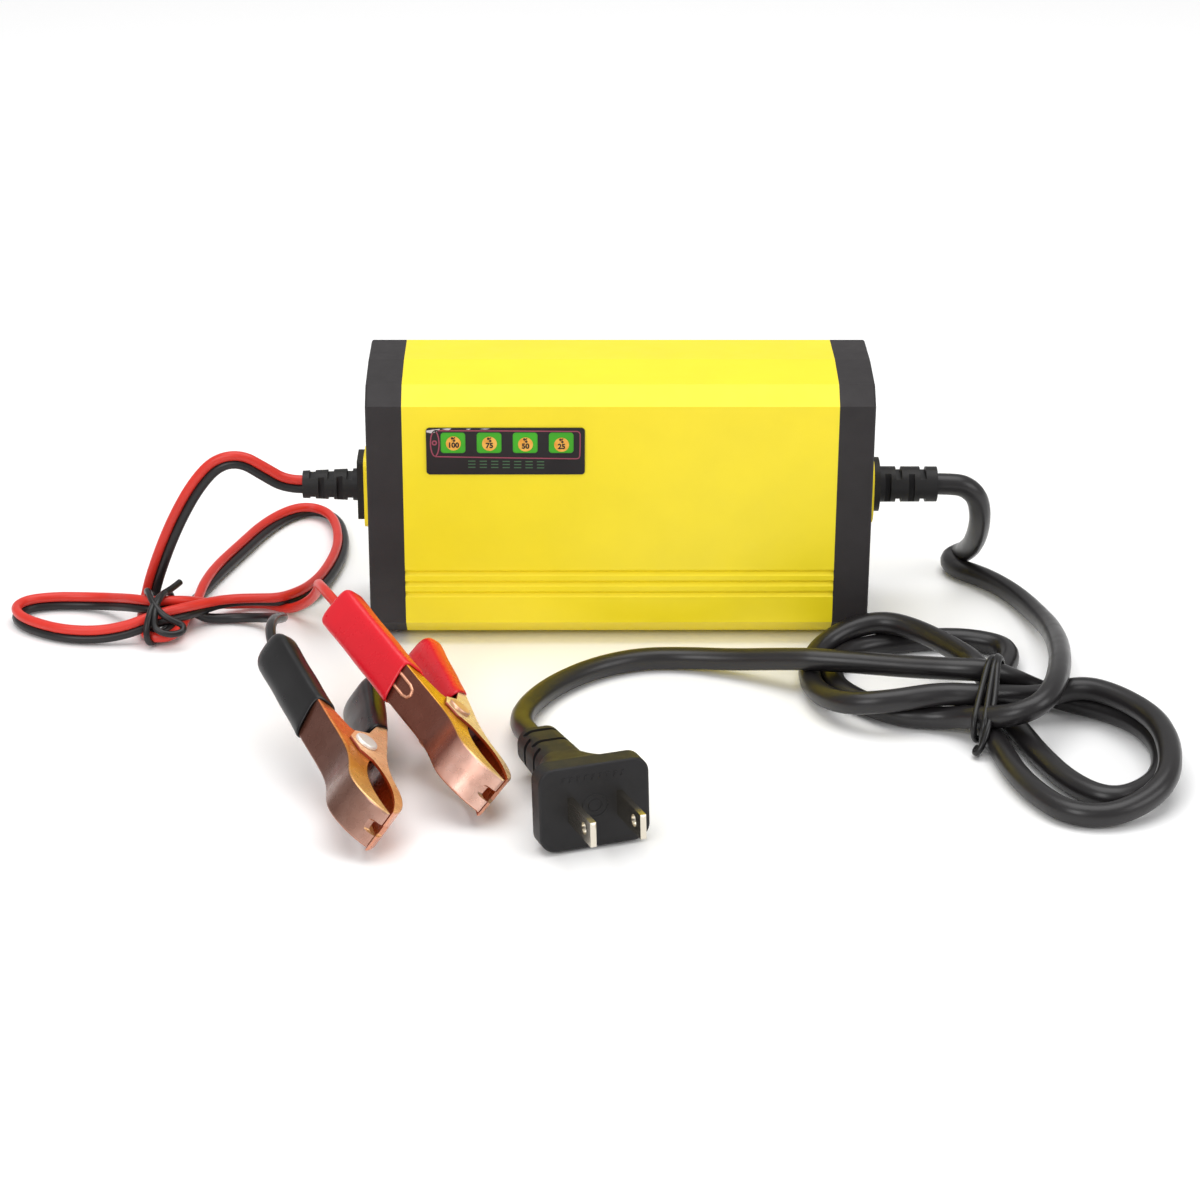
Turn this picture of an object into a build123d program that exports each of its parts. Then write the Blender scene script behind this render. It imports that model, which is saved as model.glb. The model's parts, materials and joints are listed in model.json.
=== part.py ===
"""Car battery charger: aluminium case, mains lead with plug, twin output lead with two clips.

Millimetres. X runs along the case, +Y is the back, +Z is up. The origin is under the middle of the
case, on the surface that it stands on. The label is on the front face, which looks along -Y.
"""
import os
from math import cos, pi, radians, sin, tan

from build123d import *

os.makedirs("parts", exist_ok=True)

# Case
CASE_LENGTH = 140.0
CASE_DEPTH = 46.0
CASE_HEIGHT = 78.0
CAP_LENGTH = 10.0
WALL = 1.8
FRONT = -CASE_DEPTH / 2
BACK = CASE_DEPTH / 2
MID = CASE_HEIGHT / 2
TUBE_END = CASE_LENGTH / 2 - CAP_LENGTH
END = CASE_LENGTH / 2
SPLIT_Y = 14.2
# Half of the case's section, front to back, as (y, height above the middle)
HALF_SECTION = [(FRONT, 32.25), (FRONT + 5.2, 36.9), (FRONT + 20.3, MID), (SPLIT_Y, MID), (BACK, 31.5)]
GROOVE_HEIGHTS = (15.5, 18.7, 21.9)
GROOVE_DEPTH = 0.8
GROOVE_WIDTH = 1.9

# End caps, panels and screws
CAP_FACE = 3.0
CAP_WALL = 2.2
SPIGOT = 3.0
PANEL_DEPTH = 24.0
PANEL_HEIGHT = 54.0
PANEL_STEP = 2.0
PAD_TOP = END + 2.0
SCREW_PLACES = [(-13.0, 32.8), (-13.0, -32.8), (17.6, 31.2), (17.6, -31.2)]
SCREW_RADIUS = 1.5
SCREW_LENGTH = 14.0
HEAD_RADIUS = 2.8
HEAD_SINK = 1.8
PORT_RADIUS = 3.2

# Board
BOARD_FACE = 8.0
BOARD_THICKNESS = 1.6
BOARD_LENGTH = 112.0
BOARD_HEIGHT = 73.6
RAIL_GAP = 0.15
RAIL_THICKNESS = 1.4
RAIL_HEIGHT = 2.6

# Indicator label and what is behind it
LABEL_CENTER = (-31.6, 58.4)
LABEL_SIZE = (43.6, 13.6)
LABEL_THICKNESS = 0.4
WINDOW_SIZE = (6.8, 6.0)
WINDOW_XS = (-46.0, -36.1, -26.2, -16.3)
WINDOW_Z = 60.9
LED_RADIUS = 1.5

# Leads
MAINS_DIAMETER = 6.2
TWIN_DIAMETER = 4.0
CORE_DIAMETER = 2.4
LEAD_HEIGHT = 39.6

# Plug
PLUG_WIDTH = 28.5
PLUG_HEIGHT = 21.7
PLUG_LENGTH = 44.5
PLUG_YAW = 18.5
PLUG_PITCH = 5.3
PLUG_FACE = (-8.1, -143.6, 11.4)
BLADE_WIDTH = 6.35
BLADE_THICKNESS = 1.5
BLADE_LENGTH = 17.5
BLADE_SPACING = 12.7
BLADE_ROOT = 6.0

# Clips: each is drawn with x towards the jaws, y towards its wired half and z along its rivet
SHEET = 0.7
WIRED_HALF_WIDTH = 5.3
MOVING_HALF_WIDTH = 6.1
RIVET_RADIUS = 1.6
RIVET_HEAD = 3.1
RUNNING_GAP = 0.06
SLEEVE_WALL = 0.6
SLEEVE_MOUTH = -14
SLEEVE_EDGE = 1.1
HANDLE_END = (-43.5, 16.13)
JAW_BACK = [(-13, 10.3), (-3, 8.2), (7, 6.9), (14, 7.9), (21, 9.1), (28, 6.6), (33, 0.9)]
JAW_EDGE = [(33, 0.2), (28, 1.9), (20, 3.1), (13, 2.2), (8, 0.3)]
EAR_EDGE = [(8, 0.3), (5, -3), (0, -4.6), (-4.5, -2.2), (-7, 2.8), (-13, 6.4), (-43.5, 11.96)]
HOLLOW_END = (-44.5, 15.63)
HOLLOW_BACK = [(-13, 9.6), (-3, 7.5), (7, 6.2), (14.2, 7.2), (21, 8.4), (27.4, 6.1), (32.1, 0.6)]
WIRED_JAW = (JAW_BACK, HOLLOW_BACK)
MOVING_JAW = (
    [(-13, 10.3), (-3, 7.7), (7, 5.6), (14, 5.4), (21, 5.9), (28, 4.4), (33, 0.9)],
    [(-13, 9.6), (-3, 7.0), (7, 4.9), (14.2, 4.7), (21, 5.2), (27.4, 3.8), (32.1, 0.6)],
)
HOLLOW_FOOT = [(32.1, 0.6), (32.1, -8), (-44.5, -8), HOLLOW_END]
SLEEVE_SIDE = [(-49.6, 18.1), (SLEEVE_MOUTH, 11.3), (SLEEVE_MOUTH, 5.3), (-49.6, 11.5)]
SLEEVE_HOLLOW = [(-43.7, 16.3), (-13, 10.4), (-13, 6.3), (-43.7, 11.85)]
RED_PIVOT = (-46.4, -102.3, 12.8)
RED_ALONG = (0.3867, -0.9112, -0.1424)
RED_AXIS = (-0.6314, -0.149, -0.761)
BLACK_PIVOT = (-69, -118.8, 11.2)
BLACK_ALONG = (0.2509, -0.964, -0.0878)
BLACK_AXIS = (-0.5753, -0.0755, -0.8145)

# Routes, from the case outwards
MAINS_ROUTE = [
    (90.5, 0, 39.6), (94.6, 0, 39.6), (98.8, 0, 39), (102.4, 0.8, 35.5), (104.2, 3, 29), (104.6, 8.5, 21.5),
    (104.6, 15.5, 14.5), (105, 23, 9.2), (105.2, 30.5, 5.4), (101.2, 35, 3.7), (96.4, 32.2, 3.1),
    (97, 26.2, 3.1), (101.6, 22.2, 3.1), (107.5, 18, 3.1), (112.8, 11, 3.1), (117.6, 1, 3.1),
    (120.8, -12, 3.1), (122.2, -25, 3.3), (122, -37, 4.2), (120.8, -47.5, 5.2),
]
PLUG_ROUTE = [
    (50.5, -50, 9.2), (42, -46.4, 7.3), (31, -42, 4.6), (18, -39.5, 3.1), (5, -41, 3.1), (-8, -47.5, 3.1),
    (-19, -58.5, 3.1), (-26, -72, 3.3), (-27.2, -84.5, 4.8), (-24.7, -93.9, 6.5), (-22.13, -101.57, 7.26),
]
TWIN_ROUTE = [
    (-89.6, 0, 39.6), (-94.5, 0, 39.6), (-100.5, 0, 43.4), (-107, 0, 47.5), (-114, 0, 46.2),
    (-120, 0, 39.5), (-125.5, 0, 30), (-130, 0, 20), (-133.5, -1, 10.5), (-134, -3, 4.5),
]
BLACK_ROUTE = [
    (-117, -8.2, 1.3), (-109, -7.6, 1.3), (-101, -10.5, 2.8), (-96, -20, 7), (-93.5, -32, 12.5),
    (-92.8, -45, 18), (-93.8, -56, 22.6), (-93.8, -66.5, 24.6), (-92.4, -75.3, 23.7),
]
RED_ROUTE = [
    (-95.4, -1.8, 1.4), (-91, -6, 4.6), (-87, -13, 10), (-84.5, -22, 16.5), (-83.3, -33, 23),
    (-82.3, -44.5, 27.8), (-79.3, -55, 29.9), (-75.1, -63.7, 29),
]

# Outer shapes of the two tied hanks, drawn on the surface
MAINS_LOBES = [
    [(48.6, -50), (51, -37), (59, -27.5), (69.6, -24), (77, -17.5), (92, -18.5), (107, -26),
     (111.5, -42), (107, -62), (97, -84), (80, -83), (60, -79.5), (50, -66)],
    [(116.5, -46.5), (124.8, -47.5), (127, -62), (136, -73), (142.5, -88), (143.5, -105), (140, -122),
     (132, -132), (120, -137.3), (108, -134.5), (99, -118), (94, -96), (94, -82), (104, -62)],
]
TWIN_LOBES = [
    [(-175.5, -7), (-172, 3.5), (-160, 6), (-146, 4), (-134, 1), (-129, -9), (-131, -21), (-145, -26.5),
     (-160, -25.5), (-172, -17)],
    [(-131, -14), (-128, -4), (-124.5, 8), (-120, 24), (-113, 45), (-106, 64), (-97, 76.5), (-88, 73),
     (-81, 60), (-79.5, 45), (-82, 25), (-88, 5), (-97, -2), (-110, -4.2), (-122, -11)],
]


def export(piece, name):
    piece.part.label = name
    export_step(piece.part, f"parts/{name}.step")


def case_section(inset, side=1):
    """The case's closed section about its middle, moved in by inset; side -1 mirrors front and back."""
    lower = [(side * y, -half) for y, half in HALF_SECTION]
    upper = [(side * y, half) for y, half in reversed(HALF_SECTION)]
    with BuildSketch() as section:
        with BuildLine():
            Polyline(*lower, *upper, close=True)
        make_face()
        if inset:
            offset(amount=-inset, kind=Kind.INTERSECTION, mode=Mode.REPLACE)
    return section.sketch


def corner_radii(route):
    """The largest arcs that each pair of runs allows."""
    points = [Vector(*point) for point in route]
    radii = []
    for before, corner, after in zip(points, points[1:], points[2:]):
        turn = radians((corner - before).get_angle(after - corner))
        run = min((corner - before).length, (after - corner).length)
        radii.append(0.45 * run / tan(turn / 2))
    return radii


def make_lead(route, diameter, name):
    """A free lead: straight runs joined by tangent arcs, with a round section."""
    radii = corner_radii(route)
    print(name, "radii", [round(radius, 1) for radius in radii])
    with BuildPart() as lead:
        with BuildLine() as path:
            FilletPolyline(*route, radius=radii)
        wire = path.wires()[0]
        with BuildSketch(Plane(origin=wire @ 0, z_dir=wire % 0)):
            Circle(diameter / 2)
        sweep(path=wire)
    full = pi * diameter**2 / 4 * wire.length
    print(name, "length", round(wire.length, 1), "volume over section x length", lead.part.volume / full)
    export(lead, name)


# ---------------------------------------------------------------- case shells

MIDDLE = Plane(origin=(0, 0, MID), x_dir=(0, 1, 0), z_dir=(1, 0, 0))


def make_tube(name, y_from, y_to, port_places):
    """One of the two lengths of extrusion: the section between two depths, with its screw ports."""
    with BuildPart() as shell:
        with BuildSketch(MIDDLE):
            add(case_section(0))
            add(case_section(WALL), mode=Mode.SUBTRACT)
            with Locations(*port_places):
                Circle(PORT_RADIUS)
            add(case_section(0), mode=Mode.INTERSECT)
            with Locations(((y_from + y_to) / 2, 0)):
                Rectangle(y_to - y_from, CASE_HEIGHT + 2, mode=Mode.INTERSECT)
            with Locations(*port_places):
                Circle(SCREW_RADIUS, mode=Mode.SUBTRACT)
            if y_from == FRONT:
                board_rails()
        extrude(amount=TUBE_END, both=True)
        if y_from == FRONT:
            with BuildSketch(MIDDLE):
                for z in GROOVE_HEIGHTS:
                    with BuildLine():
                        groove_line(z - MID)
                    make_face()
            extrude(amount=TUBE_END, both=True, mode=Mode.SUBTRACT)
            with BuildSketch(Plane.XZ.offset(-FRONT)):
                with Locations(*[(x, WINDOW_Z) for x in WINDOW_XS]):
                    Circle(LED_RADIUS + 0.4)
            extrude(amount=-2 * WALL, mode=Mode.SUBTRACT)
    export(shell, name)


def board_rails():
    """Ribs inside the top and bottom walls that the board slides between."""
    inside = MID - WALL
    for side in (1, -1):
        for y in (BOARD_FACE - RAIL_GAP - RAIL_THICKNESS, BOARD_FACE + BOARD_THICKNESS + RAIL_GAP):
            with Locations((y + RAIL_THICKNESS / 2, side * (inside - RAIL_HEIGHT / 2 + 0.2))):
                Rectangle(RAIL_THICKNESS, RAIL_HEIGHT + 0.4)


def groove_line(height):
    """The V of one groove in the front face."""
    half = GROOVE_WIDTH / 2
    Polyline((FRONT, height - half), (FRONT + GROOVE_DEPTH, height), (FRONT, height + half), close=True)


make_tube("front_shell", FRONT, SPLIT_Y, SCREW_PLACES[:2])
make_tube("back_shell", SPLIT_Y, BACK, SCREW_PLACES[2:])


# ---------------------------------------------------------------- end caps, panels, screws

def end_plane(side, distance):
    """A plane across the case at a distance from its middle, facing outwards at that end."""
    return Plane(origin=(side * distance, 0, MID), x_dir=(0, side, 0), z_dir=(side, 0, 0))


def make_end_cap(side, name):
    """A black frame that closes one end, with a spigot inside the tube and a hole for the panel."""
    spigot_inset = WALL + 0.15
    with BuildPart() as cap:
        with BuildSketch(end_plane(side, TUBE_END)):
            add(case_section(0, side))
        extrude(amount=CAP_LENGTH)
        outer = cap.faces().sort_by(Axis.X)[-1 if side > 0 else 0]
        fillet(outer.edges(), 0.8)
        with BuildSketch(end_plane(side, TUBE_END - SPIGOT)):
            add(case_section(spigot_inset, side))
        extrude(amount=SPIGOT + 0.5)
        with BuildSketch(end_plane(side, TUBE_END - SPIGOT)):
            add(case_section(spigot_inset + CAP_WALL, side))
        extrude(amount=SPIGOT + CAP_LENGTH - CAP_FACE, mode=Mode.SUBTRACT)
        with BuildSketch(end_plane(side, TUBE_END - SPIGOT)):
            with Locations(*[(side * y, z) for y, z in SCREW_PLACES]):
                Circle(PORT_RADIUS + 0.3)
            with Locations((side * (BOARD_FACE + BOARD_THICKNESS / 2), 0)):
                Rectangle(BOARD_THICKNESS + 2 * RAIL_THICKNESS + 1, CASE_HEIGHT)
        extrude(amount=SPIGOT, mode=Mode.SUBTRACT)
        with BuildSketch(end_plane(side, TUBE_END)):
            with Locations(*[(side * y, z) for y, z in SCREW_PLACES]):
                Circle(PORT_RADIUS)
            add(case_section(1.0, side), mode=Mode.INTERSECT)
        extrude(amount=CAP_LENGTH - 1)
        with BuildSketch(end_plane(side, TUBE_END)):
            Rectangle(PANEL_DEPTH, PANEL_HEIGHT)
        extrude(amount=CAP_LENGTH, mode=Mode.SUBTRACT)
        with BuildSketch(end_plane(side, TUBE_END)):
            with Locations(*[(side * y, z) for y, z in SCREW_PLACES]):
                Circle(SCREW_RADIUS + 0.1)
        extrude(amount=CAP_LENGTH, mode=Mode.SUBTRACT)
        with BuildSketch(end_plane(side, END)):
            with Locations(*[(side * y, z) for y, z in SCREW_PLACES]):
                Circle(HEAD_RADIUS + 0.2)
        extrude(amount=-HEAD_SINK, mode=Mode.SUBTRACT)
    export(cap, name)


def make_end_panel(side, name, pad_size, pad_corner, hole_radius):
    """The yellow panel in a cap's opening: a step behind the frame and a raised pad for the lead."""
    back = END - CAP_FACE
    with BuildPart() as panel:
        with BuildSketch(end_plane(side, back - 0.05)):
            Rectangle(PANEL_DEPTH + 2 * PANEL_STEP, PANEL_HEIGHT + 2 * PANEL_STEP)
        extrude(amount=-1.2)
        with BuildSketch(end_plane(side, back - 0.1)):
            Rectangle(PANEL_DEPTH - 0.2, PANEL_HEIGHT - 0.2)
        extrude(amount=CAP_FACE - 0.2)
        with BuildSketch(end_plane(side, END - 1)):
            RectangleRounded(*pad_size, pad_corner)
        extrude(amount=PAD_TOP - END + 1)
        with BuildSketch(end_plane(side, END - 10)):
            with Locations((0, LEAD_HEIGHT - MID)):
                Circle(hole_radius)
        extrude(amount=20, mode=Mode.SUBTRACT)
    export(panel, name)


def make_end_screws(side, name):
    """Four pan-head screws through one cap into the tube's ports."""
    shaft = SCREW_RADIUS - 0.02
    with BuildPart() as screws:
        with BuildSketch(end_plane(side, END - HEAD_SINK)):
            with Locations(*[(side * y, z) for y, z in SCREW_PLACES]):
                Circle(HEAD_RADIUS)
        extrude(amount=HEAD_SINK - 0.1)
        with BuildSketch(end_plane(side, END - 0.1)):
            with Locations(*[(side * y, z) for y, z in SCREW_PLACES]):
                Rectangle(3.2, 0.8)
                Rectangle(0.8, 3.2)
        extrude(amount=-0.9, mode=Mode.SUBTRACT)
        with BuildSketch(end_plane(side, END - HEAD_SINK)):
            with Locations(*[(side * y, z) for y, z in SCREW_PLACES]):
                Circle(shaft)
        extrude(amount=-SCREW_LENGTH)
    export(screws, name)


for end_side, end_name in ((-1, "left"), (1, "right")):
    make_end_cap(end_side, f"{end_name}_end_cap")
    make_end_screws(end_side, f"{end_name}_end_screws")
make_end_panel(-1, "left_end_panel", (14.0, 21.0), 3.0, 3.6)
make_end_panel(1, "right_end_panel", (18.0, 19.0), 6.0, 3.9)


# ---------------------------------------------------------------- indicator

def make_indicator():
    label_x, label_z = LABEL_CENTER
    windows = [(x, WINDOW_Z) for x in WINDOW_XS]
    with BuildPart() as label:
        with BuildSketch(Plane.XZ.offset(-FRONT)):
            with Locations((label_x, label_z)):
                RectangleRounded(*LABEL_SIZE, 1.0)
            with Locations(*windows):
                RectangleRounded(*WINDOW_SIZE, 0.9, mode=Mode.SUBTRACT)
        extrude(amount=LABEL_THICKNESS)
    export(label, "indicator_label")
    with BuildPart() as lenses:
        with BuildSketch(Plane.XZ.offset(-FRONT)):
            with Locations(*windows):
                RectangleRounded(*WINDOW_SIZE, 0.9)
        extrude(amount=LABEL_THICKNESS - 0.1)
    export(lenses, "indicator_windows")
    board_front = FRONT + 7.0
    with BuildPart() as board:
        with BuildSketch(Plane.XZ.offset(-board_front)):
            with Locations(((WINDOW_XS[0] + WINDOW_XS[-1]) / 2, WINDOW_Z - 2)):
                Rectangle(38, 10)
        extrude(amount=-BOARD_THICKNESS)
        with BuildSketch(Plane.XZ.offset(-board_front - 0.1)):
            with GridLocations(2.54, 1, 6, 1):
                with Locations(((WINDOW_XS[0] + WINDOW_XS[-1]) / 2, WINDOW_Z - 5.5)):
                    Rectangle(0.6, 0.6)
        extrude(amount=board_front + 0.1 - BOARD_FACE)
    export(board, "indicator_board")
    with BuildPart() as leds:
        with BuildSketch(Plane.XZ.offset(-board_front)):
            with Locations(*windows):
                Circle(LED_RADIUS)
        extrude(amount=5.2)
        fillet(leds.faces().sort_by(Axis.Y)[:4].edges(), 1.2)
    export(leds, "indicator_leds")


make_indicator()


# ---------------------------------------------------------------- inside the case

def block(name, center, size, corner=0.6):
    """A boxy part standing on the board's face: centre (x, z), size (x, z, depth)."""
    width, height, depth = size
    with BuildPart() as piece:
        with BuildSketch(Plane.XZ.offset(-BOARD_FACE)):
            with Locations(center):
                RectangleRounded(width, height, corner)
        extrude(amount=depth)
    export(piece, name)


def cans(name, centers, radius, depth):
    """Electrolytic capacitors standing on the board's face, with a rolled groove near the base."""
    with BuildPart() as piece:
        with BuildSketch(Plane.XZ.offset(-BOARD_FACE)):
            with Locations(*centers):
                Circle(radius)
        extrude(amount=depth)
        with BuildSketch(Plane.XZ.offset(-BOARD_FACE + 2.0)):
            with Locations(*centers):
                Circle(radius)
                Circle(radius - 0.5, mode=Mode.SUBTRACT)
        extrude(amount=0.9, mode=Mode.SUBTRACT)
    export(piece, name)


def make_board():
    with BuildPart() as board:
        with BuildSketch(Plane.XZ.offset(-BOARD_FACE)):
            with Locations((0, MID)):
                Rectangle(BOARD_LENGTH, BOARD_HEIGHT)
        extrude(amount=-BOARD_THICKNESS)
    export(board, "circuit_board")
    with BuildPart() as sheet:
        with BuildSketch(Plane.XZ.offset(-(BACK - WALL - 0.1))):
            with Locations((0, MID)):
                Rectangle(BOARD_LENGTH, 54)
        extrude(amount=0.4)
    export(sheet, "insulation_sheet")


def make_transformer():
    """A ferrite core with three legs, and the coil round its middle leg."""
    x, z, depth = 0.0, 39.0, 14.0
    middle = BOARD_FACE - depth / 2 - 2
    with BuildPart() as core:
        with BuildSketch(Plane.XZ.offset(-middle)):
            with Locations((x, z)):
                Rectangle(30, 26)
                with Locations((-8.25, 0), (8.25, 0)):
                    Rectangle(6.5, 17, mode=Mode.SUBTRACT)
        extrude(amount=5, both=True)
    export(core, "transformer_core")
    with BuildPart() as coil:
        with BuildSketch(Plane.XY.offset(z - 8.2)):
            with Locations((x, middle)):
                RectangleRounded(22.4, 18, 3)
                Rectangle(10.2, 10.2, mode=Mode.SUBTRACT)
        extrude(amount=16.4)
    export(coil, "transformer_winding")


def make_heat_sink(name, x, z):
    """A finned aluminium plate standing on the board."""
    with BuildPart() as sink:
        with BuildSketch(Plane.XZ.offset(-BOARD_FACE)):
            with Locations((x, z)):
                Rectangle(20, 2)
            with Locations((x - 8.5, z + 3), (x - 3, z + 3), (x + 3, z + 3), (x + 8.5, z + 3)):
                Rectangle(1.2, 5)
        extrude(amount=20)
    export(sink, name)


def make_power_device(name, x, z):
    """A three-legged power device: a plastic body on a metal tab, lying against its heat sink."""
    with BuildPart() as device:
        with BuildSketch(Plane.XZ.offset(-BOARD_FACE + 4)):
            with Locations((x, z)):
                Rectangle(10, 4.4)
        extrude(amount=9)
        with BuildSketch(Plane.XZ.offset(-BOARD_FACE + 13)):
            with Locations((x, z + 1.5)):
                Rectangle(10, 1.4)
        extrude(amount=6)
        with BuildSketch(Plane.XZ.offset(-BOARD_FACE)):
            with Locations((x - 2.54, z), (x, z), (x + 2.54, z)):
                Rectangle(0.8, 0.6)
        extrude(amount=4)
    export(device, name)


def make_fuse():
    """A glass fuse in its two end caps, held off the board."""
    z, x, y = 64.0, 44.0, BOARD_FACE - 4
    with BuildPart() as fuse:
        with BuildSketch(Plane.YZ.offset(x - 10)):
            with Locations((y, z)):
                Circle(2.5)
        extrude(amount=20)
        with BuildSketch(Plane.YZ.offset(x - 10)):
            with Locations((y, z)):
                Circle(2.8)
        extrude(amount=5)
        with BuildSketch(Plane.YZ.offset(x + 5)):
            with Locations((y, z)):
                Circle(2.8)
        extrude(amount=5)
    export(fuse, "mains_fuse")
    with BuildPart() as clips:
        for start in (x - 9, x + 6):
            with BuildSketch(Plane.YZ.offset(start)):
                with Locations((y + 2.0, z)):
                    Rectangle(4, 7)
                with Locations((y, z)):
                    Circle(2.8, mode=Mode.SUBTRACT)
            extrude(amount=3)
    export(clips, "fuse_clips")


def make_choke():
    """A ring core with its winding, standing on the board."""
    with BuildPart() as choke:
        with BuildSketch(Plane.XZ.offset(-BOARD_FACE)):
            with Locations((44, 42)):
                Circle(8)
                Circle(3, mode=Mode.SUBTRACT)
        extrude(amount=8)
        fillet(choke.faces().sort_by(Axis.Y)[0].edges(), 1.5)
    export(choke, "mains_choke")


def make_inner_wires(name, side, reach):
    """Two insulated wires from the inner end of the strain relief to the board."""
    with BuildPart() as wires:
        for offset_z in (-1.8, 1.8):
            spread = 3 * offset_z
            route = [
                (side * reach, 0, LEAD_HEIGHT + offset_z),
                (side * (reach - 4), 0, LEAD_HEIGHT + offset_z),
                (side * (reach - 11), 4, LEAD_HEIGHT + spread),
                (side * (reach - 11), BOARD_FACE, LEAD_HEIGHT + spread),
            ]
            with BuildLine() as path:
                FilletPolyline(*route, radius=1.2)
            wire = path.wires()[0]
            with BuildSketch(Plane(origin=wire @ 0, z_dir=wire % 0)):
                Circle(0.9)
            sweep(path=wire)
    export(wires, name)


make_board()
make_transformer()
make_fuse()
make_choke()
block("filter_capacitor", (44, 20), (17, 9, 13))
block("bridge_rectifier", (22, 64), (15, 10, 4))
block("control_chip", (6, 10), (9.6, 6.4, 3.6), 0.2)
block("optocoupler", (-8, 10), (4.8, 6.4, 3.6), 0.2)
cans("mains_capacitor", [(26, 36)], 8, 22)
cans("output_capacitors", [(-30, 16), (-44, 16)], 5, 18)
make_heat_sink("transistor_heat_sink", 24, 18)
make_power_device("switching_transistor", 24, 14.4)
make_heat_sink("diode_heat_sink", -30, 34)
make_power_device("output_diode", -30, 30.4)
make_inner_wires("mains_wires", 1, 65.0)
make_inner_wires("output_wires", -1, 65.0)


# ---------------------------------------------------------------- strain reliefs

def relief_plane(side, distance):
    return Plane(origin=(side * distance, 0, LEAD_HEIGHT), x_dir=(0, side, 0), z_dir=(side, 0, 0))


def make_strain_relief(side, name, flange, corner, radii, end, rings, windows, core, neck):
    """A flanged boot: rings joined by webs, so that it bends. Slots open upwards and sideways by turns."""
    start = PAD_TOP + 1.9
    with BuildPart() as relief:
        with BuildSketch(relief_plane(side, PAD_TOP)):
            RectangleRounded(*flange, corner)
        extrude(amount=start - PAD_TOP)
        with BuildSketch(relief_plane(side, start)):
            Circle(radii[0])
        with BuildSketch(relief_plane(side, end)):
            Circle(radii[1])
        loft()
        with BuildSketch(relief_plane(side, PAD_TOP)):
            Circle(neck)
        extrude(amount=-(PAD_TOP - (END - CAP_FACE - 1.25)))
        with BuildSketch(relief_plane(side, END - CAP_FACE - 1.25)):
            Circle(neck + 1.6)
        extrude(amount=-(END - CAP_FACE - 1.25 - 65.0))
        for place in rings:
            for up in (1, -1):
                with Locations((side * place, 0, LEAD_HEIGHT + up * (core + 5))):
                    Box(1.7, 20, 10, mode=Mode.SUBTRACT)
        for place in windows:
            for out in (1, -1):
                with Locations((side * place, out * (core + 5), LEAD_HEIGHT)):
                    Box(1.7, 10, 20, mode=Mode.SUBTRACT)
    export(relief, name)


make_strain_relief(
    1, "mains_strain_relief", (15.2, 15.4), 7.5, (5.1, 5.0), 90.5, (79.5, 86.4), (76.4, 83.1), 2.9, 3.85
)
make_strain_relief(
    -1, "output_strain_relief", (11.0, 17.8), 1.2, (4.6, 3.9), 89.6,
    (76.2, 81.6, 86.8), (79.0, 84.2), 2.7, 3.55
)


# ---------------------------------------------------------------- leads, hanks and ties

def make_hank(name, lobes, neck_center, neck_length, neck_size, neck_turn, heights):
    """A tied hank as one closed solid: two lobes flat on the surface and the bundle between them."""
    width, bottom, top = neck_size
    with BuildPart() as hank:
        for outline, height in zip(lobes, heights):
            with BuildSketch(Plane.XY):
                with BuildLine():
                    Spline(*outline, periodic=True)
                make_face()
            extrude(amount=height)
        with BuildSketch(Plane.XY.offset(bottom)):
            with Locations(Location(neck_center, neck_turn)):
                RectangleRounded(neck_length, width, 3)
        extrude(amount=top - bottom)
    export(hank, name)


def make_tie(name, center, turn, length, size):
    """A wire tie round a hank's bundle: a plain band of the size of its wraps."""
    width, bottom, top = size
    band = 1.4
    place = Plane(origin=(*center, (bottom + top) / 2), x_dir=(-sin(radians(turn)), cos(radians(turn)), 0),
                  z_dir=(cos(radians(turn)), sin(radians(turn)), 0))
    with BuildPart() as tie:
        with BuildSketch(place):
            RectangleRounded(width + 2 * band, top - bottom + 2 * band, 3)
            RectangleRounded(width, top - bottom, 1.8, mode=Mode.SUBTRACT)
        extrude(amount=length / 2, both=True)
    export(tie, name)


make_hank("mains_hank", MAINS_LOBES, (99, -74), 34, (17, 1.6, 16.5), -17, (12.4, 11.5))
make_tie("mains_tie", (97.5, -78), -17, 6, (17, 1.6, 16.5))
make_hank("output_hank", TWIN_LOBES, (-128.5, -8), 16, (13, 1.6, 9.0), 20, (5.2, 4.8))
make_tie("output_tie", (-128.5, -8), 20, 5, (13, 1.6, 9.0))
make_lead(MAINS_ROUTE, MAINS_DIAMETER, "mains_lead")
make_lead(PLUG_ROUTE, MAINS_DIAMETER, "mains_lead_to_plug")
make_lead(TWIN_ROUTE, TWIN_DIAMETER, "output_lead")
make_lead(BLACK_ROUTE, CORE_DIAMETER, "black_core")
make_lead(RED_ROUTE, CORE_DIAMETER, "red_core")


# ---------------------------------------------------------------- plug

def plug_plane(distance):
    """A plane across the plug, distance mm in front of its face."""
    yaw, pitch = radians(PLUG_YAW), radians(PLUG_PITCH)
    out = Vector(sin(yaw) * cos(pitch), -cos(yaw) * cos(pitch), sin(pitch))
    return Plane(origin=Vector(*PLUG_FACE) + out * distance, x_dir=(cos(yaw), sin(yaw), 0), z_dir=out)


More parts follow.
